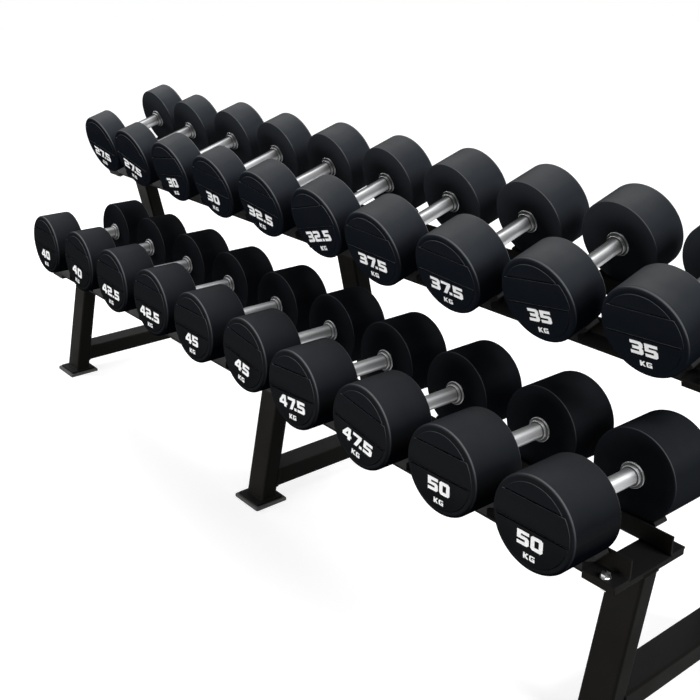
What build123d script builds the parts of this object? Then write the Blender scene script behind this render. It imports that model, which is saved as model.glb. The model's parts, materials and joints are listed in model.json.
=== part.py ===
from build123d import *
import os
from math import cos, radians, sin, sqrt, tan

# Two-tier saddle rack for gym dumbbells, loaded with twenty round dumbbells.
# Millimetres. X runs along the rack, +Y points to its back, +Z is up.
# The origin is on the floor, in the middle of the loaded rack's outline.

os.makedirs("parts", exist_ok=True)

# Dumbbell places along the rack
PLACES = 10
PITCH = 240.0

# Each row from left to right: weight in kilograms, and how many steps the dumbbell was
# put down behind the middle of its two saddles.
SHIFT_STEP = 1.0
LOWER_ROW = [(40, 10), (40, 11), (42.5, 10), (42.5, 7), (45, 7),
             (45, 8), (47.5, -12), (47.5, -12), (50, -3), (50, -11)]
UPPER_ROW = [(27.5, 5), (27.5, -11), (30, -6), (30, -10), (32.5, -5),
             (32.5, -5), (37.5, -10), (37.5, -6), (35, 1), (35, 11)]

# Dumbbell heads: one diameter for every weight, and a length that grows evenly along a row
HEAD_DIAMETER = 190.0
LOWER_SHORTEST_HEAD = 96.0
LOWER_LONGEST_HEAD = 128.0
UPPER_SHORTEST_HEAD = 70.0
UPPER_LONGEST_HEAD = 102.5
HEAD_RIM_RADIUS = 8.0
HEAD_INNER_RADIUS = 4.0
RUBBER_WALL = 3.5

# Dumbbell handles
GRIP_LENGTH = 158.0
HANDLE_DIAMETER = 34.0
HANDLE_SOCKET_DEPTH = 30.0
COLLAR_DIAMETER = 54.0
COLLAR_WIDTH = 4.0
COLLAR_EDGE = 1.5
HUB_DIAMETER = 43.0
HUB_LENGTH = 10.0
HUB_EDGE = 2.0
FIT_CLEARANCE = 0.05

# Saddles
SADDLE_CLEARANCE = 0.3
SADDLE_WALL = 12.0
SADDLE_HALF_ANGLE = 36.0
SADDLE_BASE_WIDTH = 66.0
SADDLE_BASE_HEIGHT = 14.0
SADDLE_TIP_RADIUS = 3.5
SADDLE_ROOT_RADIUS = 8.0

# Rails: bent steel angle, one flat flange and one upright flange
RAIL_WALL = 5.0
RAIL_BEND_RADIUS = 4.0
RAIL_FLAT_WIDTH = 47.0
RAIL_UPRIGHT_HEIGHT = 44.0
RAIL_TOE_RADIUS = 2.0
RAIL_END_REACH = 107.0
HEAD_TO_RAIL_GAP = 14.0

# Arms: flat steel bars across the top of each leg, as wide as the leg
ARM_THICKNESS = 12.0
ARM_EDGE_RADIUS = 2.0
ARM_END_SETBACK = 1.0

# Frames: three leaning pairs of legs, each with a base bar, and a plate on a rubber pad under each leg
FRAMES = 3
TUBE_WIDTH = 75.0
TUBE_DEPTH = 45.0
BASE_BAR_DEPTH = 50.0
TUBE_WALL = 3.0
TUBE_CORNER_RADIUS = 6.0
FRONT_LEG_LEAN = 11.5
REAR_LEG_LEAN = 12.0
FRONT_LEG_SETBACK = 4.0
REAR_LEG_SETBACK = -2.5
BASE_BAR_HEIGHT = 66.0
FOOT_PLATE_WIDTH = 93.0
FOOT_PLATE_DEPTH = 84.0
FOOT_PLATE_THICKNESS = 5.0
FOOT_PAD_WIDTH = 109.0
FOOT_PAD_DEPTH = 100.0
FOOT_PAD_THICKNESS = 9.0
FOOT_CORNER_RADIUS = 5.0
FOOT_PLATE_EDGE = 1.0
FOOT_PAD_EDGE = 2.5

# Tiers: the point below the middle of a head's underside line, and the slope down to the front
LOWER_HEIGHT = 400.0
UPPER_RISE = 343.7
UPPER_SETBACK = 229.1
LOWER_TILT = 0.0
UPPER_TILT = 16.6

# Fasteners
BOLT_DIAMETER = 10.0
BOLT_HEAD_FLATS = 16.0
BOLT_HEAD_HEIGHT = 6.5
BOLT_TAIL = 3.0
BOLT_SIDE_STEP = 6.0
BOLT_EDGE_DISTANCE = 15.0
NUT_HEIGHT = 8.0
WASHER_DIAMETER = 21.0
WASHER_THICKNESS = 2.0
HOLE_CLEARANCE = 0.5
SCREW_DIAMETER = 8.0
SCREW_HEAD_FLATS = 13.0
SCREW_HEAD_HEIGHT = 5.5
SCREW_GRIP = 12.0

# Values that follow from the sizes above
HEAD_RADIUS = HEAD_DIAMETER / 2
HANDLE_RADIUS = HANDLE_DIAMETER / 2
RAIL_LENGTH = (PLACES - 1) * PITCH + 2 * RAIL_END_REACH
FRAME_REACH = (RAIL_LENGTH - TUBE_WIDTH) / 2
SADDLE_RADIUS = HEAD_RADIUS + SADDLE_CLEARANCE
SADDLE_FLOOR = -SADDLE_CLEARANCE - SADDLE_WALL
RAIL_TOP = SADDLE_FLOOR - SADDLE_BASE_HEIGHT
RAIL_BOTTOM = RAIL_TOP - RAIL_WALL
ARM_BOTTOM = RAIL_BOTTOM - ARM_THICKNESS
UPRIGHT_FACE = GRIP_LENGTH / 2 - HEAD_TO_RAIL_GAP
RAIL_EDGE = UPRIGHT_FACE - RAIL_WALL + RAIL_FLAT_WIDTH
SADDLE_NEAR = UPRIGHT_FACE + RAIL_BEND_RADIUS + HOLE_CLEARANCE
SADDLE_LENGTH = RAIL_EDGE - SADDLE_NEAR
FOOT_TOP = FOOT_PAD_THICKNESS + FOOT_PLATE_THICKNESS
SCREW_PLACE = SADDLE_NEAR + SADDLE_LENGTH / 2
BOLT_PLACE = RAIL_EDGE - BOLT_EDGE_DISTANCE
PLACE_X = [(i - (PLACES - 1) / 2) * PITCH for i in range(PLACES)]
FRAME_X = [FRAME_REACH * (2 * i / (FRAMES - 1) - 1) for i in range(FRAMES)]
BOLT_X = [x + BOLT_SIDE_STEP * (1 if x >= 0 else -1) for x in FRAME_X]


def laid_out(row, shortest, longest):
    """Head length and shift of each dumbbell in a row."""
    weights = [weight for weight, _ in row]
    per_kilogram = (longest - shortest) / (max(weights) - min(weights))
    return [(shortest + per_kilogram * (weight - min(weights)), steps * SHIFT_STEP) for weight, steps in row]


def tier_plane(y, z, tilt):
    """Plane on a tier: x along the rack, y to the back along the dumbbells, z square to them."""
    lean = radians(tilt)
    return Plane(origin=(0, y, z), x_dir=(1, 0, 0), z_dir=(0, -sin(lean), cos(lean)))


def leg_foot(plane, setback, lean):
    """Where the axis of a leg under this tier's arm meets the floor."""
    top = plane.from_local_coords(Vector(0, setback, ARM_BOTTOM))
    return top.Y - top.Z * tan(radians(lean))


# The tiers and legs are laid out from the middle of the lower row, then moved so that the
# outline of the loaded rack, from the foremost head to the back of the rear feet, is centred.
rear_foot = leg_foot(tier_plane(UPPER_SETBACK, LOWER_HEIGHT + UPPER_RISE, UPPER_TILT),
                     REAR_LEG_SETBACK, -REAR_LEG_LEAN)
lower_row = laid_out(LOWER_ROW, LOWER_SHORTEST_HEAD, LOWER_LONGEST_HEAD)
upper_row = laid_out(UPPER_ROW, UPPER_SHORTEST_HEAD, UPPER_LONGEST_HEAD)
foremost = min(shift - GRIP_LENGTH / 2 - length for length, shift in lower_row)
LOWER_MIDDLE = -(foremost + rear_foot + FOOT_PAD_DEPTH / 2) / 2
LOWER = tier_plane(LOWER_MIDDLE, LOWER_HEIGHT, LOWER_TILT)
UPPER = tier_plane(LOWER_MIDDLE + UPPER_SETBACK, LOWER_HEIGHT + UPPER_RISE, UPPER_TILT)
TIERS = {"lower": (LOWER, lower_row), "upper": (UPPER, upper_row)}


def box_between(low, high):
    """Flat-sided sketch between two corners."""
    width, height = high[0] - low[0], high[1] - low[1]
    return Pos(low[0], low[1]) * Rectangle(width, height, align=(Align.MIN, Align.MIN))


def upright_cylinder(radius, x, y, bottom, top):
    """Cylinder square to a tier, from one level to another."""
    return Pos(x, y, bottom) * Cylinder(radius, top - bottom, align=(Align.CENTER, Align.CENTER, Align.MIN))


def hexagon_bar(flats, x, y, bottom, top):
    """Hexagon bar square to a tier, from one level to another."""
    across_corners = flats / sqrt(3)
    return Pos(x, y, bottom) * extrude(RegularPolygon(across_corners, 6), amount=top - bottom)


def head_jacket(length):
    """Rubber jacket of one head, around the Y axis, with its inner face towards the handle."""
    near = GRIP_LENGTH / 2
    far = near + length
    profile = box_between((0, near), (HEAD_RADIUS, far))
    rim = profile.vertices().group_by(Axis.X)[-1].sort_by(Axis.Y)
    profile = fillet(rim[-1], HEAD_RIM_RADIUS)
    inner_rim = profile.vertices().group_by(Axis.Y)[0].sort_by(Axis.X)[-1]
    profile = fillet(inner_rim, HEAD_INNER_RADIUS)
    core_room = box_between((0, near + RUBBER_WALL), (HEAD_RADIUS - RUBBER_WALL, far - RUBBER_WALL))
    handle_room = box_between((0, near), (HANDLE_RADIUS + FIT_CLEARANCE, near + RUBBER_WALL))
    return revolve(profile - core_room - handle_room, Axis.Y)


def head_core(length):
    """Steel core inside one jacket, bored for the end of the handle."""
    near = GRIP_LENGTH / 2 + RUBBER_WALL + FIT_CLEARANCE
    far = GRIP_LENGTH / 2 + length - RUBBER_WALL - FIT_CLEARANCE
    core = box_between((0, near), (HEAD_RADIUS - RUBBER_WALL - FIT_CLEARANCE, far))
    bore = box_between((0, near), (HANDLE_RADIUS + FIT_CLEARANCE, near + HANDLE_SOCKET_DEPTH))
    return revolve(core - bore, Axis.Y)


def handle_collar():
    """Chromed collar on the handle: a flange against the inner face of a head, and a hub."""
    head_face = GRIP_LENGTH / 2
    flange = box_between((HANDLE_RADIUS, head_face - COLLAR_WIDTH), (COLLAR_DIAMETER / 2, head_face))
    hub = box_between((HANDLE_RADIUS, head_face - HUB_LENGTH), (HUB_DIAMETER / 2, head_face))
    profile = flange + hub
    flange_edge = profile.vertices().sort_by_distance((COLLAR_DIAMETER / 2, head_face - COLLAR_WIDTH))[0]
    profile = fillet(flange_edge, COLLAR_EDGE)
    hub_edge = profile.vertices().sort_by_distance((HUB_DIAMETER / 2, head_face - HUB_LENGTH))[0]
    return revolve(fillet(hub_edge, HUB_EDGE), Axis.Y)


def handle_rod():
    """Round handle bar, from the bottom of one core's bore to the other's."""
    reach = GRIP_LENGTH / 2 + RUBBER_WALL + HANDLE_SOCKET_DEPTH
    return revolve(box_between((0, -reach), (HANDLE_RADIUS, reach)), Axis.Y)


def both_ends(solid):
    """A piece of one end of a dumbbell, and its mirror image at the other end."""
    return [solid, mirror(solid, about=Plane.XZ)]


def saddle():
    """Moulded saddle: a curved wall round the underside of a head, on a base that is screwed down."""
    centre = Pos(0, HEAD_RADIUS)
    outer = SADDLE_RADIUS + SADDLE_WALL
    spread = 2 * outer * tan(radians(SADDLE_HALF_ANGLE))
    wedge = make_face(Polyline((0, 0), (spread, -2 * outer), (-spread, -2 * outer), close=True))
    wall = centre * ((Circle(outer) - Circle(SADDLE_RADIUS)) & wedge)
    tips = wall.vertices().group_by(Axis.Y)
    wall = fillet(tips[-1] + tips[-2], SADDLE_TIP_RADIUS)
    base = box_between((-SADDLE_BASE_WIDTH / 2, RAIL_TOP), (SADDLE_BASE_WIDTH / 2, 0))
    outline = wall + (base - centre * Circle(SADDLE_RADIUS + SADDLE_WALL / 2))
    sides = [v for v in outline.vertices() if abs(abs(v.X) - SADDLE_BASE_WIDTH / 2) < 1]
    roots = [v for v in sides if RAIL_TOP + 1 < v.Y < 0]
    outline = fillet(roots, SADDLE_ROOT_RADIUS)
    return extrude(Plane.XZ * outline, amount=-SADDLE_LENGTH)


def saddle_group(side):
    """One row of saddles on a front (-1) or rear (+1) rail."""
    start = SADDLE_NEAR if side > 0 else -SADDLE_NEAR - SADDLE_LENGTH
    screw_hole = upright_cylinder(SCREW_DIAMETER / 2, 0, SADDLE_LENGTH / 2, RAIL_TOP, RAIL_TOP + SCREW_GRIP)
    one = saddle() - screw_hole
    return [Pos(x, start, 0) * one for x in PLACE_X]


def rail(side):
    """Bent angle along the whole rack, drilled for its bolts and for the saddle screws."""
    top = RAIL_BOTTOM + RAIL_UPRIGHT_HEIGHT
    near = UPRIGHT_FACE - RAIL_WALL
    flat = box_between((near, RAIL_BOTTOM), (RAIL_EDGE, RAIL_TOP))
    upright = box_between((near, RAIL_BOTTOM), (UPRIGHT_FACE, top))
    profile = flat + upright
    inner_bend = profile.vertices().sort_by_distance((UPRIGHT_FACE, RAIL_TOP))[0]
    profile = fillet(inner_bend, RAIL_BEND_RADIUS)
    outer_bend = profile.vertices().sort_by_distance((near, RAIL_BOTTOM))[0]
    profile = fillet(outer_bend, RAIL_BEND_RADIUS + RAIL_WALL)
    toe_places = [(RAIL_EDGE, RAIL_TOP), (UPRIGHT_FACE, top)]
    toes = [profile.vertices().sort_by_distance(place)[0] for place in toe_places]
    profile = fillet(toes, RAIL_TOE_RADIUS)
    angle = Pos(-RAIL_LENGTH / 2, 0, 0) * extrude(Plane.YZ * profile, amount=RAIL_LENGTH)
    bolt_radius = BOLT_DIAMETER / 2 + HOLE_CLEARANCE
    screw_radius = SCREW_DIAMETER / 2 + HOLE_CLEARANCE
    holes = [upright_cylinder(bolt_radius, x, BOLT_PLACE, RAIL_BOTTOM, RAIL_TOP) for x in BOLT_X]
    holes += [upright_cylinder(screw_radius, x, SCREW_PLACE, RAIL_BOTTOM, RAIL_TOP) for x in PLACE_X]
    angle = angle - holes
    return angle if side > 0 else mirror(angle, about=Plane.XZ)


def arm(x, bolt_x):
    """Flat bar across the top of a leg, drilled for one bolt through each rail."""
    length = 2 * (RAIL_EDGE - ARM_END_SETBACK)
    outline = Pos(x, 0) * RectangleRounded(TUBE_WIDTH, length, ARM_EDGE_RADIUS)
    bar = Pos(0, 0, ARM_BOTTOM) * extrude(outline, amount=ARM_THICKNESS)
    radius = BOLT_DIAMETER / 2 + HOLE_CLEARANCE
    for place in (-BOLT_PLACE, BOLT_PLACE):
        bar = bar - upright_cylinder(radius, bolt_x, place, ARM_BOTTOM, RAIL_BOTTOM)
    return bar


def tube_section(depth):
    """Rounded rectangular tube, wide along X."""
    walls = 2 * TUBE_WALL
    outer = RectangleRounded(TUBE_WIDTH, depth, TUBE_CORNER_RADIUS)
    inner = RectangleRounded(TUBE_WIDTH - walls, depth - walls, TUBE_CORNER_RADIUS - TUBE_WALL)
    return outer - inner


def leg_plane(x, foot_y, lean):
    """Plane on the floor, square to a leg whose top leans back by this angle."""
    angle = radians(lean)
    return Plane(origin=(x, foot_y, 0), x_dir=(1, 0, 0), z_dir=(0, sin(angle), cos(angle)))


def leg(plane, tier):
    """Leaning tube, cut level on its foot plate and flush under the arm of its tier."""
    long_enough = 2 * tier.origin.Z
    tube = extrude(plane * tube_section(TUBE_DEPTH), amount=long_enough, both=True)
    tube = split(tube, bisect_by=Plane(origin=(0, 0, FOOT_TOP), z_dir=(0, 0, 1)), keep=Keep.TOP)
    return split(tube, bisect_by=tier.offset(ARM_BOTTOM), keep=Keep.BOTTOM)


def base_bar(x, front_plane, rear_plane):
    """Level tube near the floor, from the back of the front leg to the front of the rear leg."""
    level = Plane(origin=(x, 0, BASE_BAR_HEIGHT), x_dir=(1, 0, 0), z_dir=(0, 1, 0))
    reach = rear_plane.origin.Y - front_plane.origin.Y
    tube = extrude(level * tube_section(BASE_BAR_DEPTH), amount=2 * reach, both=True)
    to_face = Vector(0, TUBE_DEPTH / 2, 0)
    back_of_front = Plane(origin=front_plane.from_local_coords(to_face), z_dir=front_plane.y_dir)
    front_of_rear = Plane(origin=rear_plane.from_local_coords(-to_face), z_dir=rear_plane.y_dir)
    tube = split(tube, bisect_by=back_of_front, keep=Keep.TOP)
    return split(tube, bisect_by=front_of_rear, keep=Keep.BOTTOM)


def foot_slab(x, y, width, depth, bottom, thickness, edge):
    """Flat foot with rounded corners and a bevel round its top."""
    slab = extrude(RectangleRounded(width, depth, FOOT_CORNER_RADIUS), amount=thickness)
    slab = chamfer(slab.faces().sort_by(Axis.Z)[-1].edges(), edge)
    return Pos(x, y, bottom) * slab


def foot_pad(x, y):
    """Rubber pad on the floor."""
    return foot_slab(x, y, FOOT_PAD_WIDTH, FOOT_PAD_DEPTH, 0, FOOT_PAD_THICKNESS, FOOT_PAD_EDGE)


def foot_plate(x, y):
    """Steel plate that a leg is welded to, on its pad."""
    bottom = FOOT_PAD_THICKNESS
    return foot_slab(x, y, FOOT_PLATE_WIDTH, FOOT_PLATE_DEPTH, bottom, FOOT_PLATE_THICKNESS, FOOT_PLATE_EDGE)


def rail_bolt(x, y):
    """Hexagon bolt, head on the rail's flange and tail below the arm."""
    seat = RAIL_TOP + WASHER_THICKNESS
    tail = ARM_BOTTOM - NUT_HEIGHT - BOLT_TAIL
    head = hexagon_bar(BOLT_HEAD_FLATS, x, y, seat, seat + BOLT_HEAD_HEIGHT)
    return head + upright_cylinder(BOLT_DIAMETER / 2, x, y, tail, seat)


def rail_washer(x, y):
    """Flat washer between a bolt head and the rail's flange."""
    top = RAIL_TOP + WASHER_THICKNESS
    hole_radius = BOLT_DIAMETER / 2 + FIT_CLEARANCE
    ring = upright_cylinder(WASHER_DIAMETER / 2, x, y, RAIL_TOP, top)
    return ring - upright_cylinder(hole_radius, x, y, RAIL_TOP, top)


def rail_nut(x, y):
    """Hexagon nut under an arm."""
    bottom = ARM_BOTTOM - NUT_HEIGHT
    hole_radius = BOLT_DIAMETER / 2 + FIT_CLEARANCE
    block = hexagon_bar(BOLT_HEAD_FLATS, x, y, bottom, ARM_BOTTOM)
    return block - upright_cylinder(hole_radius, x, y, bottom, ARM_BOTTOM)


def saddle_screw(x, y):
    """Hexagon screw from below, through the rail's flange into a saddle."""
    head = hexagon_bar(SCREW_HEAD_FLATS, x, y, RAIL_BOTTOM - SCREW_HEAD_HEIGHT, RAIL_BOTTOM)
    shank_radius = SCREW_DIAMETER / 2 - FIT_CLEARANCE
    return head + upright_cylinder(shank_radius, x, y, RAIL_BOTTOM, RAIL_TOP + SCREW_GRIP - HOLE_CLEARANCE)


def on_tiers(make, x_places, y_place):
    """The same fastener at every place along the front and rear rails of both tiers."""
    spots = [(x, y) for x in x_places for y in (-y_place, y_place)]
    return [plane.location * make(x, y) for plane, _ in TIERS.values() for x, y in spots]


def write_node(name, solids):
    """Write one node: a single solid, or a group of separate ones."""
    loose = [solid for piece in solids for solid in piece.solids()]
    export_step(loose[0] if len(loose) == 1 else Compound(children=loose), f"parts/{name}.step")


front_foot = leg_foot(LOWER, FRONT_LEG_SETBACK, FRONT_LEG_LEAN)
back_foot = leg_foot(UPPER, REAR_LEG_SETBACK, -REAR_LEG_LEAN)
front_planes = [leg_plane(x, front_foot, FRONT_LEG_LEAN) for x in FRAME_X]
rear_planes = [leg_plane(x, back_foot, -REAR_LEG_LEAN) for x in FRAME_X]

write_node("front_legs", [leg(plane, LOWER) for plane in front_planes])
write_node("rear_legs", [leg(plane, UPPER) for plane in rear_planes])
write_node("base_bars", [base_bar(x, f, r) for x, f, r in zip(FRAME_X, front_planes, rear_planes)])
feet = [(x, y) for x in FRAME_X for y in (front_foot, back_foot)]
write_node("foot_plates", [foot_plate(x, y) for x, y in feet])
write_node("foot_pads", [foot_pad(x, y) for x, y in feet])

for tier_name, (plane, row) in TIERS.items():
    write_node(f"{tier_name}_arms", [plane.location * arm(x, bolt_x) for x, bolt_x in zip(FRAME_X, BOLT_X)])
    for side_name, side in (("front", -1), ("rear", 1)):
        write_node(f"{tier_name}_{side_name}_rail", [plane.location * rail(side)])
        write_node(f"{tier_name}_{side_name}_saddles", [plane.location * one for one in saddle_group(side)])
    for number, (x, (length, shift)) in enumerate(zip(PLACE_X, row), 1):
        spot = plane.location * Pos(x, shift, HEAD_RADIUS)
        steel = [handle_rod()] + both_ends(handle_collar()) + both_ends(head_core(length))
        rubber = both_ends(head_jacket(length))
        write_node(f"{tier_name}_{number:02d}_handle", [spot * piece for piece in steel])
        write_node(f"{tier_name}_{number:02d}_heads", [spot * piece for piece in rubber])

write_node("rail_bolts", on_tiers(rail_bolt, BOLT_X, BOLT_PLACE))
write_node("rail_washers", on_tiers(rail_washer, BOLT_X, BOLT_PLACE))
write_node("rail_nuts", on_tiers(rail_nut, BOLT_X, BOLT_PLACE))
write_node("saddle_screws", on_tiers(saddle_screw, PLACE_X, SCREW_PLACE))
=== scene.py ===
import bpy
import json
from math import cos, pi, radians, sin, tan
from mathutils import Matrix, Vector


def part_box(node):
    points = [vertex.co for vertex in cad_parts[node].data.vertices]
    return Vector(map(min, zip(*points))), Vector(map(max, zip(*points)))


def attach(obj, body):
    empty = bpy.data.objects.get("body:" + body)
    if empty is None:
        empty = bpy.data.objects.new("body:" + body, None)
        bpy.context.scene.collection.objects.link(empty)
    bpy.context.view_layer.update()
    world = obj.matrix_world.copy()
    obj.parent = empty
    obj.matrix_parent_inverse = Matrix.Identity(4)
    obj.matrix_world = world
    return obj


# Two-tier dumbbell rack. Metres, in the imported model's frame.
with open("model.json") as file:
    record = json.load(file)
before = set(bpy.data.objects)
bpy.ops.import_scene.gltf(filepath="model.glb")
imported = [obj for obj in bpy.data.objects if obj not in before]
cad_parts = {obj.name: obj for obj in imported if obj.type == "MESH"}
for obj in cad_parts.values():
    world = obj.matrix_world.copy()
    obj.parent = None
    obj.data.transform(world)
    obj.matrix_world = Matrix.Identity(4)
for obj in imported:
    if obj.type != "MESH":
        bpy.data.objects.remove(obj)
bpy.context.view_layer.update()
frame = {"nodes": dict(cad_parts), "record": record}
NODES = frame["nodes"]

# Marked weights and the roll of each dumbbell in its saddles, from left to right
ROWS = {
    "lower": [("40", 0), ("40", -10), ("42.5", -2), ("42.5", -1), ("45", 0),
              ("45", -8.5), ("47.5", 4), ("47.5", -9.5), ("50", 1.5), ("50", 1)],
    "upper": [("27.5", -11), ("27.5", -16), ("30", 8.5), ("30", -6.5), ("32.5", -8.5),
              ("32.5", 16), ("37.5", -2.5), ("37.5", -4), ("35", 8.5), ("35", 3.5)],
}

# Slope of each tier in degrees, and how far back the middle of its handles lies
TIER_TILT = {"lower": 0.0, "upper": 16.6}
TIER_MIDDLE = {"lower": -0.110, "upper": 0.092}

# Relief on the faces of the heads
BAND_TOP = 0.047
BAND_BOTTOM = -0.0065
BAND_RADIUS = 0.086
CROWN_RADIUS = 0.0815
PANEL_GAP = 0.0012
PANEL_HEIGHT = 0.0018
PANEL_BEVEL = 0.0020
PANEL_BEVEL_STEPS = 3
PANEL_SUNK = 0.0006
PANEL_SIDES = 128
PANEL_SMOOTH_ANGLE = 35

# Frames: tube legs and their welds
TUBE_WIDTH = 0.075
TUBE_DEPTH = 0.045
TUBE_CORNER = 0.006
FRAME_PLACES = (-1.1495, 0.0, 1.1495)
FOOT_TOP = 0.014
BASE_BAR_DEPTH = 0.050
BASE_BAR_HEIGHT = 0.066
WELD_RADIUS = 0.0028
WELD_CORNER_STEPS = 4
WELD_ROUND_STEPS = 2

# Each leg: its foot, its lean, the way to the base bar, and the place, height and slope of its arm
LEGS = [
    (-0.17866, 11.5, 1, (-0.10609, 0.3567, 0.0)),
    (0.27809, -12.0, -1, (0.12898, 0.70149, 16.6)),
]

# Marks
DIGIT_HEIGHT = 0.0285
DIGIT_WIDTH = 0.028
DIGIT_GAP = 0.0040
DIGIT_LEVEL = -0.0315
TUCKED = {"7.": 0.0090}
UNIT_HEIGHT = 0.0115
UNIT_WIDTH = 0.0122
UNIT_GAP = 0.0020
UNIT_LEVEL = -0.0640
MARK_HEIGHT = 0.0005

# Block figures on a grid ten wide and twelve high: each outline, and then its hole
FIGURE_GRID = (10, 12)
FIGURES = {
    "0": [[(1.5, 0), (8.5, 0), (10, 1.5), (10, 10.5), (8.5, 12), (1.5, 12), (0, 10.5), (0, 1.5)],
          [(3.2, 3), (6.8, 3), (6.8, 9), (3.2, 9)]],
    "2": [[(0, 0), (10, 0), (10, 2.8), (3.2, 2.8), (3.2, 4.7), (8.5, 4.7), (10, 6.2), (10, 10.5),
           (8.5, 12), (0, 12), (0, 9.2), (6.8, 9.2), (6.8, 7.4), (1.5, 7.4), (0, 5.9)]],
    "3": [[(0, 0), (8.5, 0), (10, 1.5), (10, 5), (9, 6), (10, 7), (10, 10.5), (8.5, 12), (0, 12),
           (0, 9.2), (6.8, 9.2), (6.8, 7.4), (1.6, 7.4), (1.6, 4.6), (6.8, 4.6), (6.8, 2.8), (0, 2.8)]],
    "4": [[(6.2, 0), (9.2, 0), (9.2, 2.4), (10.6, 2.4), (10.6, 5), (9.2, 5), (9.2, 12), (5.2, 12),
           (0, 5.2), (0, 2.4), (6.2, 2.4)],
          [(3.4, 5), (6.2, 8.7), (6.2, 5)]],
    "5": [[(0, 0), (8.5, 0), (10, 1.5), (10, 6), (8.5, 7.5), (3.2, 7.5), (3.2, 9.2), (10, 9.2), (10, 12),
           (0, 12), (0, 4.8), (6.8, 4.8), (6.8, 2.8), (0, 2.8)]],
    "7": [[(2, 0), (5.4, 0), (10, 9.4), (10, 12), (0, 12), (0, 9.2), (6.2, 9.2)]],
    ".": [[(0, 0), (3, 0), (3, 2.8), (0, 2.8)]],
    "K": [[(0, 0), (3, 0), (3, 4.4), (6.2, 0), (10, 0), (5.6, 6.1), (10, 12), (6.2, 12), (3, 7.6),
           (3, 12), (0, 12)]],
    "G": [[(1.5, 0), (10, 0), (10, 6.8), (5, 6.8), (5, 4.4), (7, 4.4), (7, 2.8), (3, 2.8), (3, 9.2),
           (10, 9.2), (10, 12), (1.5, 12), (0, 10.5), (0, 1.5)]],
}

# Noise textures: the part of their range in use, their detail, and the depth of a fine grain
NOISE_RANGE = (0.3, 0.7)
CLOUD_DETAIL = 4
GRAIN_DETAIL = 2
GRAIN_STRENGTH = 0.35

# Head rubber: colours of painted light and shade by how far a surface faces up, with painted highlights on
# rims that face up and to the right, and a set of tones for each tier
RUBBER_LIGHT_AND_SHADE_TONES = {
    "lower": (
        (-0.30, (0.0018, 0.0024, 0.0036)),
        (0.00, (0.0096, 0.0102, 0.0112)),
        (0.25, (0.0084, 0.0098, 0.0122)),
        (0.50, (0.0160, 0.0180, 0.0215)),
        (0.70, (0.0228, 0.0250, 0.0290)),
        (0.95, (0.0315, 0.0340, 0.0380)),
        (1.20, (0.0500, 0.0530, 0.0570)),
        (1.75, (0.1150, 0.1180, 0.1220)),
        (2.60, (0.2400, 0.2430, 0.2480)),
    ),
    "upper": (
        (-0.30, (0.0054, 0.0068, 0.0096)),
        (0.00, (0.0086, 0.0100, 0.0128)),
        (0.25, (0.0112, 0.0130, 0.0165)),
        (0.50, (0.0238, 0.0267, 0.0318)),
        (0.70, (0.0345, 0.0378, 0.0432)),
        (0.88, (0.0570, 0.0605, 0.0655)),
        (1.00, (0.0860, 0.0890, 0.0930)),
        (1.75, (0.1350, 0.1380, 0.1420)),
        (2.60, (0.1800, 0.1830, 0.1870)),
    ),
}
# Span of the painted light values that the tones cover
PAINTED_LIGHT_RANGE = (-0.3, 2.6)
# Painted shade on the rear heads of each tier: the least and the most painted light they get
REAR_PAINTED_LIGHT_LIMITS = {"lower": (0.35, 0.60), "upper": (0.50, 1.0)}
# Painted highlights on the rounded rims: where on a rim, the way towards the light, and how strong
RIM_HIGHLIGHT_STOPS = ((0.25, 0), (0.42, 1), (0.62, 1), (0.80, 0))
RIM_HIGHLIGHT_FACING = (0.75, 0, 0.66)
RIM_HIGHLIGHT_GAIN = 1.35
RUBBER_CLOUD_SCALE = 14
RUBBER_CLOUD_GAIN = 0.20
RUBBER_ROUGHNESS = (0.45, 0.58)
RUBBER_GRAIN_SCALE = 1100
RUBBER_GRAIN_DEPTH = 0.00012

# Handle plating: painted reflections, grey levels round the handles by the way a surface faces, a set for
# each tier, and a painted dark reflection on flat faces of the collars
REFLECTION_BAND_FACING = (0.37, 0, -0.93)
PAINTED_REFLECTION_TONES = {
    "lower": ((-1.0, 0.35), (-0.8, 0.55), (-0.6, 1.0), (-0.4, 0.85), (-0.2, 0.48), (0.0, 0.42),
              (0.2, 0.52), (0.4, 0.66), (0.6, 1.0), (0.8, 0.40), (1.0, 0.20)),
    "upper": ((-1.0, 0.08), (-0.8, 0.20), (-0.6, 0.90), (-0.4, 0.36), (-0.2, 0.18), (0.0, 0.18),
              (0.2, 0.23), (0.4, 0.66), (0.6, 1.0), (0.8, 0.95), (1.0, 0.30)),
}
REFLECTION_TINT = (0.975, 0.985, 1.0)
STREAK_SCALE = 60
STREAK_DETAIL = 3
STREAK_STRETCH = (1, 0.06, 1)
STREAK_GAIN = 0.25
COLLAR_FACE_REFLECTION_STOPS = ((0.50, 1.0), (0.90, 0.30))
PLATING_EDGE_TINT = (0.1, 0.1, 0.1, 1)
PLATING_ROUGHNESS = (0.58, 0.68)

# Frame paint: painted light and shade, colours by how far a surface is turned to the right and down, darker
# the further it turns that way
PAINT_SHADE_FACING = (0.9, 0, -0.4)
PAINT_SHADE_TONES = (
    (-1.0, (0.0080, 0.0078, 0.0072)),
    (-0.4, (0.0118, 0.0119, 0.0122)),
    (0.0, (0.0086, 0.0079, 0.0066)),
    (0.5, (0.0058, 0.0056, 0.0050)),
    (0.9, (0.0046, 0.0045, 0.0041)),
)
PAINT_GLOSS = 0.02
PAINT_CLOUD_SCALE = 9
PAINT_CLOUD_GAIN = 0.5
PAINT_ROUGHNESS = (0.42, 0.55)
PAINT_GRAIN_SCALE = 700
PAINT_GRAIN_DEPTH = 0.0003

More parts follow.
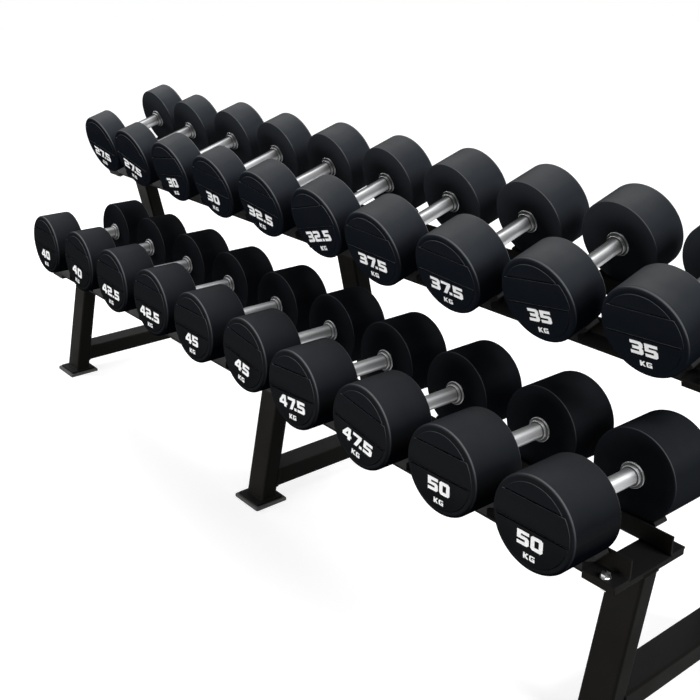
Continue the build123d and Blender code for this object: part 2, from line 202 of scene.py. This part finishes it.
# Floor and surroundings
FLOOR_SIZE = 28
FLOOR_COLOUR = (0.50, 0.50, 0.50)
FLOOR_ROUGHNESS = 0.9
FLOOR_GLOW = 0.72
SURROUND_LIGHT = 0.08
SURROUND_SEEN = 1.0

# Photograph's viewpoint
CAMERA_PLACE = (2.0773, -1.5422, 1.4596)
CAMERA_PITCH = 22.37
CAMERA_YAW = 51.02
CAMERA_LENS = 52.81
CAMERA_SENSOR = 36


def deselect_all():
    """Leave nothing selected, so that the next operator acts on one piece only."""
    bpy.ops.object.select_all(action="DESELECT")


def select_only(*pieces):
    """Select these pieces, with the first one active."""
    deselect_all()
    for piece in pieces:
        piece.select_set(True)
    bpy.context.view_layer.objects.active = pieces[0]


def added(name, data):
    """New object in the scene."""
    thing = bpy.data.objects.new(name, data)
    bpy.context.scene.collection.objects.link(thing)
    return thing


def joined(name, pieces):
    """One object made of several finished pieces."""
    select_only(*pieces)
    if len(pieces) > 1:
        bpy.ops.object.join()
    whole = bpy.context.view_layer.objects.active
    whole.name = name
    whole.data.name = name
    return whole


def copied(piece, place):
    """Copy of a modelled piece with its own mesh, moved to its place."""
    twin = added(piece.name, piece.data.copy())
    twin.data.transform(place)
    return twin


# Materials


def new_material(name, **sockets):
    """Principled material with these values on its sockets."""
    material = bpy.data.materials.new(name)
    material.use_nodes = True
    shader = material.node_tree.nodes["Principled BSDF"]
    for socket, value in sockets.items():
        shader.inputs[socket.replace("_", " ")].default_value = value
    return material


def feed(material, output, socket):
    """Link an output to a socket of the material's shader."""
    tree = material.node_tree
    tree.links.new(output, tree.nodes["Principled BSDF"].inputs[socket])


def math_node(tree, operation, *values):
    """Math node whose inputs are links or plain numbers."""
    node = tree.nodes.new("ShaderNodeMath")
    node.operation = operation
    for socket, value in zip(node.inputs, values):
        if isinstance(value, (int, float)):
            socket.default_value = value
        else:
            tree.links.new(value, socket)
    return node.outputs[0]


def add_noise(material, scale, detail, stretch=(1, 1, 1)):
    """Noise texture on object coordinates, in features per metre."""
    tree = material.node_tree
    coords = tree.nodes.new("ShaderNodeTexCoord")
    mapping = tree.nodes.new("ShaderNodeMapping")
    mapping.inputs["Scale"].default_value = stretch
    noise = tree.nodes.new("ShaderNodeTexNoise")
    noise.inputs["Scale"].default_value = scale
    noise.inputs["Detail"].default_value = detail
    tree.links.new(coords.outputs["Object"], mapping.inputs["Vector"])
    tree.links.new(mapping.outputs["Vector"], noise.inputs["Vector"])
    return noise.outputs["Fac"]


def unevened(tree, value, noise, gain):
    """A value that a noise texture makes larger here and smaller there."""
    return math_node(tree, "MULTIPLY_ADD", math_node(tree, "SUBTRACT", noise, 0.5), gain, value)


def stepped_ramp(tree, fac, stops):
    """Colour ramp with these stops, places from 0 to 1."""
    ramp = tree.nodes.new("ShaderNodeValToRGB")
    for number, (place, colour) in enumerate(stops):
        stop = ramp.color_ramp.elements[number] if number < 2 else ramp.color_ramp.elements.new(place)
        stop.position = place
        stop.color = (*colour, 1)
    tree.links.new(fac, ramp.inputs["Fac"])
    return ramp.outputs["Color"]


def grey_ramp(tree, fac, stops):
    """Ramp of grey levels, places from 0 to 1."""
    return stepped_ramp(tree, fac, [(place, (level, level, level)) for place, level in stops])


def level_ramp(tree, value, span, stops):
    """Colour ramp over a span of values, with its stops given as values."""
    low, high = span
    place = math_node(tree, "DIVIDE", math_node(tree, "SUBTRACT", value, low), high - low)
    return stepped_ramp(tree, place, [((level - low) / (high - low), tone) for level, tone in stops])


def facing(tree, vector, direction):
    """How far a vector reaches in a direction, from -1 to 1 for the way a surface faces."""
    reach = tree.nodes.new("ShaderNodeVectorMath")
    reach.operation = "DOT_PRODUCT"
    reach.inputs[1].default_value = direction
    tree.links.new(vector, reach.inputs[0])
    return reach.outputs["Value"]


def facing_along(tree, surface, tilt):
    """How far a surface faces along the handles of a tier, either way, from 0 to 1."""
    axis = (0, cos(radians(tilt)), sin(radians(tilt)))
    return math_node(tree, "ABSOLUTE", facing(tree, surface, axis))


def vary_roughness(material, noise, low, high):
    """Roughness that follows a texture between two values."""
    tree = material.node_tree
    spread = tree.nodes.new("ShaderNodeMapRange")
    spread.inputs["From Min"].default_value, spread.inputs["From Max"].default_value = NOISE_RANGE
    spread.inputs["To Min"].default_value = low
    spread.inputs["To Max"].default_value = high
    tree.links.new(noise, spread.inputs["Value"])
    feed(material, spread.outputs["Result"], "Roughness")


def add_grain(material, scale, depth):
    """Fine relief from a noise texture."""
    tree = material.node_tree
    bump = tree.nodes.new("ShaderNodeBump")
    bump.inputs["Strength"].default_value = GRAIN_STRENGTH
    bump.inputs["Distance"].default_value = depth
    tree.links.new(add_noise(material, scale, GRAIN_DETAIL), bump.inputs["Height"])
    feed(material, bump.outputs["Normal"], "Normal")


def textured(name, dark, pale, roughness, cloud_scale, grain_scale, grain_depth, **sockets):
    """Material with cloudy colour and roughness and a fine grain."""
    material = new_material(name, **sockets)
    cloud = add_noise(material, cloud_scale, CLOUD_DETAIL)
    feed(material, stepped_ramp(material.node_tree, cloud, zip(NOISE_RANGE, (dark, pale))), "Base Color")
    vary_roughness(material, cloud, *roughness)
    add_grain(material, grain_scale, grain_depth)
    return material


def head_rubber(tier, tilt):
    """Black rubber with painted light and shade: lighter where it faces up, painted highlights on rounded
    rims, painted shade on the rear heads, cloudy and lightly grained.
    """
    # Lit and shaded copy of the rubber for one tier
    material = new_material(f"{tier}_head_rubber", Specular_IOR_Level=0.0)
    tree = material.node_tree
    cloud = add_noise(material, RUBBER_CLOUD_SCALE, CLOUD_DETAIL)
    surface = tree.nodes.new("ShaderNodeNewGeometry").outputs["Normal"]
    rim = grey_ramp(tree, facing_along(tree, surface, tilt), RIM_HIGHLIGHT_STOPS)
    # Painted highlight on the rounded rims, strongest where they face up and to the right
    faces_light = math_node(tree, "MAXIMUM", facing(tree, surface, RIM_HIGHLIGHT_FACING), 0.0)
    edge = math_node(tree, "MULTIPLY", rim, faces_light)
    spot = tree.nodes.new("ShaderNodeTexCoord").outputs["Object"]
    # Painted shade on the rear heads, which lie behind the middle of the tier: limits on their painted
    # light
    behind = math_node(tree, "GREATER_THAN", facing(tree, spot, (0, 1, 0)), TIER_MIDDLE[tier])
    rear_least, rear_most = REAR_PAINTED_LIGHT_LIMITS[tier]
    least = math_node(tree, "MULTIPLY_ADD", behind, rear_least + 1.0, -1.0)
    most = math_node(tree, "MULTIPLY_ADD", behind, rear_most - 1.0, 1.0)
    # Painted light from above, lighter where a surface faces up
    light_from_above = math_node(tree, "MINIMUM", facing(tree, surface, (0, 0, 1)), most)
    painted_light = math_node(tree, "MULTIPLY_ADD", edge, RIM_HIGHLIGHT_GAIN, light_from_above)
    painted_light = unevened(tree, painted_light, cloud, RUBBER_CLOUD_GAIN)
    painted_light = math_node(tree, "MAXIMUM", painted_light, least)
    feed(material, level_ramp(tree, painted_light, PAINTED_LIGHT_RANGE, RUBBER_LIGHT_AND_SHADE_TONES[tier]), "Base Color")
    vary_roughness(material, cloud, *RUBBER_ROUGHNESS)
    add_grain(material, RUBBER_GRAIN_SCALE, RUBBER_GRAIN_DEPTH)
    return material


def handle_plating(tier, tilt):
    """Satin plating with painted pale and dark reflection streaks along the handles, and painted dark
    reflections on the flat faces of the collars.
    """
    # Copy of the plating for one tier, with its own painted reflections
    material = new_material(f"{tier}_handle_chrome", Metallic=1.0, Specular_Tint=PLATING_EDGE_TINT)
    tree = material.node_tree
    streak = add_noise(material, STREAK_SCALE, STREAK_DETAIL, STREAK_STRETCH)
    surface = tree.nodes.new("ShaderNodeNewGeometry").outputs["Normal"]
    # Painted reflections: grey levels by the way a surface faces round the handle, uneven along it
    around = unevened(tree, facing(tree, surface, REFLECTION_BAND_FACING), streak, STREAK_GAIN)
    tones = [(level, [tone * tint for tint in REFLECTION_TINT]) for level, tone in PAINTED_REFLECTION_TONES[tier]]
    shaded = tree.nodes.new("ShaderNodeVectorMath")
    shaded.operation = "MULTIPLY"
    tree.links.new(level_ramp(tree, around, (-1, 1), tones), shaded.inputs[0])
    # Painted dark reflection on the flat faces of the collars
    tree.links.new(grey_ramp(tree, facing_along(tree, surface, tilt), COLLAR_FACE_REFLECTION_STOPS), shaded.inputs[1])
    feed(material, shaded.outputs["Vector"], "Base Color")
    vary_roughness(material, streak, *PLATING_ROUGHNESS)
    return material


def frame_paint():
    """Black powder coat with painted shade, darker where a surface is turned to the right and down, cloudy
    and lightly grained.
    """
    material = new_material("powder_coat", Specular_IOR_Level=PAINT_GLOSS)
    tree = material.node_tree
    cloud = add_noise(material, PAINT_CLOUD_SCALE, CLOUD_DETAIL)
    surface = tree.nodes.new("ShaderNodeNewGeometry").outputs["Normal"]
    # Painted shade: darker where a surface is turned to the right and down
    turned = unevened(tree, facing(tree, surface, PAINT_SHADE_FACING), cloud, PAINT_CLOUD_GAIN)
    feed(material, level_ramp(tree, turned, (-1, 1), PAINT_SHADE_TONES), "Base Color")
    vary_roughness(material, cloud, *PAINT_ROUGHNESS)
    add_grain(material, PAINT_GRAIN_SCALE, PAINT_GRAIN_DEPTH)
    return material


PAINT = frame_paint()
RUBBER = {tier: head_rubber(tier, tilt) for tier, tilt in TIER_TILT.items()}
PLATING = {tier: handle_plating(tier, tilt) for tier, tilt in TIER_TILT.items()}
SADDLE = textured(
    "saddle_polymer", dark=(0.005, 0.005, 0.005), pale=(0.007, 0.007, 0.007), roughness=(0.45, 0.6),
    cloud_scale=20, grain_scale=900, grain_depth=0.0002, Specular_IOR_Level=0.10)
PAD = textured(
    "foot_rubber", dark=(0.020, 0.020, 0.019), pale=(0.032, 0.032, 0.030), roughness=(0.6, 0.75),
    cloud_scale=25, grain_scale=800, grain_depth=0.0003)
ZINC = textured(
    "fastener_zinc", dark=(0.58, 0.58, 0.58), pale=(0.70, 0.70, 0.69), roughness=(0.22, 0.36),
    cloud_scale=120, grain_scale=900, grain_depth=0.0001, Metallic=1.0)
MARK = textured(
    "mark_white", dark=(0.80, 0.80, 0.80), pale=(0.88, 0.88, 0.88), roughness=(0.45, 0.6),
    cloud_scale=60, grain_scale=900, grain_depth=0.0001)

RACK_FINISHES = {
    "frame_paint": PAINT,
    "saddle_polymer": SADDLE,
    "fastener_zinc": ZINC,
    "pad_rubber": PAD,
}
DUMBBELL_FINISHES = {
    "head_rubber": RUBBER,
    "handle_chrome": PLATING,
}


def finish_nodes():
    """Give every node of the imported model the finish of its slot, and a dumbbell that of its tier."""
    for part in frame["record"]["subparts"]:
        name, slot = part["node"], part["material_slot"]
        if slot in DUMBBELL_FINISHES:
            tier = name.split("_")[0]
            finish = DUMBBELL_FINISHES[slot][tier]
        else:
            finish = RACK_FINISHES[slot]
        NODES[name].data.materials.clear()
        NODES[name].data.materials.append(finish)


finish_nodes()


# Faces of the heads


def raised_panel(radius, bottom, top):
    """Panel moulded on a face: a disc cut straight at its bottom and top, with a soft upper edge."""
    deselect_all()
    bpy.ops.mesh.primitive_circle_add(
        vertices=PANEL_SIDES, radius=radius, fill_type="NGON", location=(0, 0, -PANEL_SUNK))
    bpy.ops.object.transform_apply()
    bpy.ops.object.mode_set(mode="EDIT")
    for level, outward in ((bottom, -1), (top, 1)):
        bpy.ops.mesh.select_all(action="SELECT")
        bpy.ops.mesh.bisect(plane_co=(0, level, 0), plane_no=(0, outward, 0), clear_outer=True)
    bpy.ops.mesh.select_all(action="SELECT")
    bpy.ops.mesh.extrude_region_move(TRANSFORM_OT_translate={"value": (0, 0, PANEL_HEIGHT + PANEL_SUNK)})
    bpy.ops.mesh.region_to_loop()
    bpy.ops.mesh.bevel(offset=PANEL_BEVEL, segments=PANEL_BEVEL_STEPS, affect="EDGES")
    bpy.ops.mesh.select_all(action="SELECT")
    bpy.ops.mesh.normals_make_consistent(inside=False)
    bpy.ops.object.mode_set(mode="OBJECT")
    return bpy.context.object


def face_panels():
    """The raised band across a face, the segment above it, and the field for the mark below it."""
    band = raised_panel(BAND_RADIUS, BAND_BOTTOM, BAND_TOP)
    crown = raised_panel(CROWN_RADIUS, BAND_TOP + PANEL_GAP, CROWN_RADIUS)
    field = raised_panel(CROWN_RADIUS, -CROWN_RADIUS, BAND_BOTTOM - PANEL_GAP)
    panels = joined("face_panels", [band, crown, field])
    bpy.ops.object.shade_smooth_by_angle(angle=radians(PANEL_SMOOTH_ANGLE))
    return panels


def figure_outlines(text, width, height, gap):
    """Outlines of a line of block figures, centred on the origin."""
    columns, rows = FIGURE_GRID
    starts = []
    pen = 0.0
    for before, figure in zip(" " + text, text):
        pen -= TUCKED.get(before + figure, 0.0)
        starts.append(pen)
        pen += max(u for u, _ in FIGURES[figure][0]) * width / columns + gap
    shift = (pen - gap) / 2
    return [[(start - shift + u * width / columns, (v / rows - 0.5) * height) for u, v in outline]
            for figure, start in zip(text, starts) for outline in FIGURES[figure]]


def weight_mark(weight):
    """Raised white figures of one weight with the unit below, as a mesh in the plane of a face."""
    curve = bpy.data.curves.new("weight_mark", "CURVE")
    curve.dimensions = "2D"
    curve.fill_mode = "BOTH"
    curve.extrude = MARK_HEIGHT
    lines = [(figure_outlines(weight, DIGIT_WIDTH, DIGIT_HEIGHT, DIGIT_GAP), DIGIT_LEVEL),
             (figure_outlines("KG", UNIT_WIDTH, UNIT_HEIGHT, UNIT_GAP), UNIT_LEVEL)]
    for outlines, level in lines:
        for outline in outlines:
            spline = curve.splines.new("POLY")
            spline.points.add(len(outline) - 1)
            spline.use_cyclic_u = True
            for point, (u, v) in zip(spline.points, outline):
                point.co = (u, v + level, PANEL_HEIGHT, 1)
    select_only(added("weight_mark", curve))
    bpy.ops.object.convert(target="MESH")
    return bpy.context.object


def face_places(tier, number, roll):
    """Placing matrices of the front and rear faces of one dumbbell."""
    heads = f"{tier}_{number:02d}_heads"
    low, high = (Vector(corner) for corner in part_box(heads))
    centre = (low + high) / 2
    tilt = radians(TIER_TILT[tier])
    back = Vector((0, cos(tilt), sin(tilt)))
    rise = Vector((0, -sin(tilt), cos(tilt)))
    reach = max((point.co - centre).dot(back) for point in NODES[heads].data.vertices)
    places = []
    for side in (-1, 1):
        out = back * side
        across = rise.cross(out)
        basis = Matrix((across, rise, out)).transposed().to_4x4()
        turn = Matrix.Rotation(radians(-roll * side), 4, "Z")
        places.append(Matrix.Translation(centre + out * reach) @ basis @ turn)
    return places


def dress_dumbbells():
    """Raised panels and weight marks on the faces of every dumbbell."""
    panels = face_panels()
    weights = sorted({weight for row in ROWS.values() for weight, _ in row})
    marks = {weight: weight_mark(weight) for weight in weights}
    for tier, row in ROWS.items():
        for number, (weight, roll) in enumerate(row, 1):
            dumbbell = f"{tier}_{number:02d}"
            body = f"{dumbbell}_dumbbell"
            places = face_places(tier, number, roll)
            relief = joined(f"{dumbbell}_face_panels", [copied(panels, place) for place in places])
            relief.data.materials.append(RUBBER[tier])
            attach(relief, body)
            figures = joined(f"{dumbbell}_weight_marks", [copied(marks[weight], place) for place in places])
            figures.data.materials.append(MARK)
            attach(figures, body)
    for pattern in (panels, *marks.values()):
        bpy.data.objects.remove(pattern)


dress_dumbbells()


# Welds of the frames


def weld_bead(depth):
    """Closed bead of weld round the end of a leg or base bar, flat on the XY plane."""
    deselect_all()
    bpy.ops.mesh.primitive_plane_add(size=1)
    bpy.context.object.scale = (TUBE_WIDTH, depth, 1)
    bpy.ops.object.transform_apply()
    bpy.ops.object.mode_set(mode="EDIT")
    bpy.ops.mesh.select_all(action="SELECT")
    bpy.ops.mesh.bevel(offset=TUBE_CORNER, segments=WELD_CORNER_STEPS, affect="VERTICES")
    bpy.ops.mesh.subdivide(number_cuts=1)
    bpy.ops.mesh.select_all(action="SELECT")
    bpy.ops.mesh.delete(type="ONLY_FACE")
    bpy.ops.object.mode_set(mode="OBJECT")
    bpy.ops.object.convert(target="CURVE")
    line = bpy.context.object.data
    line.bevel_depth = WELD_RADIUS
    line.bevel_resolution = WELD_ROUND_STEPS
    bpy.ops.object.convert(target="MESH")
    bpy.ops.object.shade_smooth()
    return bpy.context.object


def frame_welds():
    """Beads where the legs meet their foot plates and arms, and the base bars meet the legs."""
    spots = []
    for foot_y, lean, inward, (arm_y, arm_z, arm_tilt) in LEGS:
        slope = radians(lean)
        spots.append((foot_y + FOOT_TOP * tan(slope), FOOT_TOP, 0.0, TUBE_DEPTH / cos(slope)))
        spots.append((arm_y, arm_z, radians(arm_tilt), TUBE_DEPTH / cos(slope + radians(arm_tilt))))
        bar_y = foot_y + BASE_BAR_HEIGHT * tan(slope) + inward * TUBE_DEPTH / 2 / cos(slope)
        spots.append((bar_y, BASE_BAR_HEIGHT, pi / 2 - slope, BASE_BAR_DEPTH / cos(slope)))
    beads = []
    for y, z, tilt, depth in spots:
        bead = weld_bead(depth)
        for x in FRAME_PLACES:
            beads.append(copied(bead, Matrix.Translation((x, y, z)) @ Matrix.Rotation(tilt, 4, "X")))
        bpy.data.objects.remove(bead)
    welds = joined("frame_welds", beads)
    welds.data.materials.append(PAINT)
    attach(welds, "rack")


frame_welds()


# Floor, light and camera


def seen_rays(tree):
    """One for rays from the camera, a mirror or glass, and zero for rays that carry light."""
    path = tree.nodes.new("ShaderNodeLightPath")
    seen = math_node(tree, "MAXIMUM", path.outputs["Is Camera Ray"], path.outputs["Is Glossy Ray"])
    return math_node(tree, "MAXIMUM", seen, path.outputs["Is Transmission Ray"])


def make_floor():
    """Wide pale floor, which the camera and mirrors see as a white studio background."""
    pale = new_material("floor_pale", Base_Color=(*FLOOR_COLOUR, 1), Roughness=FLOOR_ROUGHNESS,
                        Emission_Color=(1, 1, 1, 1))
    tree = pale.node_tree
    feed(pale, math_node(tree, "MULTIPLY", seen_rays(tree), FLOOR_GLOW), "Emission Strength")
    deselect_all()
    bpy.ops.mesh.primitive_plane_add(size=FLOOR_SIZE)
    floor = bpy.context.object
    floor.name = "floor"
    floor.data.materials.append(pale)


def make_world():
    """Dim even surroundings, which the camera and mirrors see as a white background."""
    world = bpy.data.worlds.new("studio")
    bpy.context.scene.world = world
    world.use_nodes = True
    tree = world.node_tree
    shade = tree.nodes["Background"]
    shade.inputs["Color"].default_value = (1, 1, 1, 1)
    spread = tree.nodes.new("ShaderNodeMapRange")
    spread.inputs["To Min"].default_value = SURROUND_LIGHT
    spread.inputs["To Max"].default_value = SURROUND_SEEN
    tree.links.new(seen_rays(tree), spread.inputs["Value"])
    tree.links.new(spread.outputs["Result"], shade.inputs["Strength"])


def hang_light(data, place, aim):
    """Put a light at a place, aimed at a point."""
    light = added(data.name, data)
    light.location = place
    light.rotation_mode = "QUATERNION"
    light.rotation_quaternion = (Vector(aim) - Vector(place)).to_track_quat("-Z", "Y")


def area_light(name, place, aim, size, power):
    """Rectangular soft light."""
    data = bpy.data.lights.new(name, "AREA")
    data.shape = "RECTANGLE"
    data.size, data.size_y = size
    data.energy = power
    hang_light(data, place, aim)


def sun_light(name, place, width, strength):
    """Even soft light from the direction of a place, as wide as an angle in degrees."""
    data = bpy.data.lights.new(name, "SUN")
    data.angle = radians(width)
    data.energy = strength
    hang_light(data, place, (0, 0, 0))


def make_lights():
    """Broad key light from the right, with soft light from the back, the left and the front."""
    sun_light("key", place=(7.8, 1.8, 5.4), width=26, strength=2.7)
    area_light("back", place=(-0.4, 1.7, 3.0), aim=(0, 0, 0.6), size=(4.2, 1.4), power=60)
    area_light("side", place=(-3.2, -0.5, 2.2), aim=(0, 0, 0.6), size=(1.6, 1.6), power=70)
    area_light("fill", place=(0.4, -3.6, 0.4), aim=(0, 0, 0.55), size=(2.4, 1.2), power=98)


def make_camera():
    """Camera at the photograph's viewpoint."""
    data = bpy.data.cameras.new("camera")
    data.lens = CAMERA_LENS
    data.sensor_width = CAMERA_SENSOR
    camera = added("camera", data)
    camera.location = CAMERA_PLACE
    camera.rotation_euler = (radians(90 - CAMERA_PITCH), 0, radians(CAMERA_YAW))
    bpy.context.scene.camera = camera


make_floor()
make_world()
make_lights()
make_camera()
bpy.context.scene.view_settings.view_transform = "Standard"
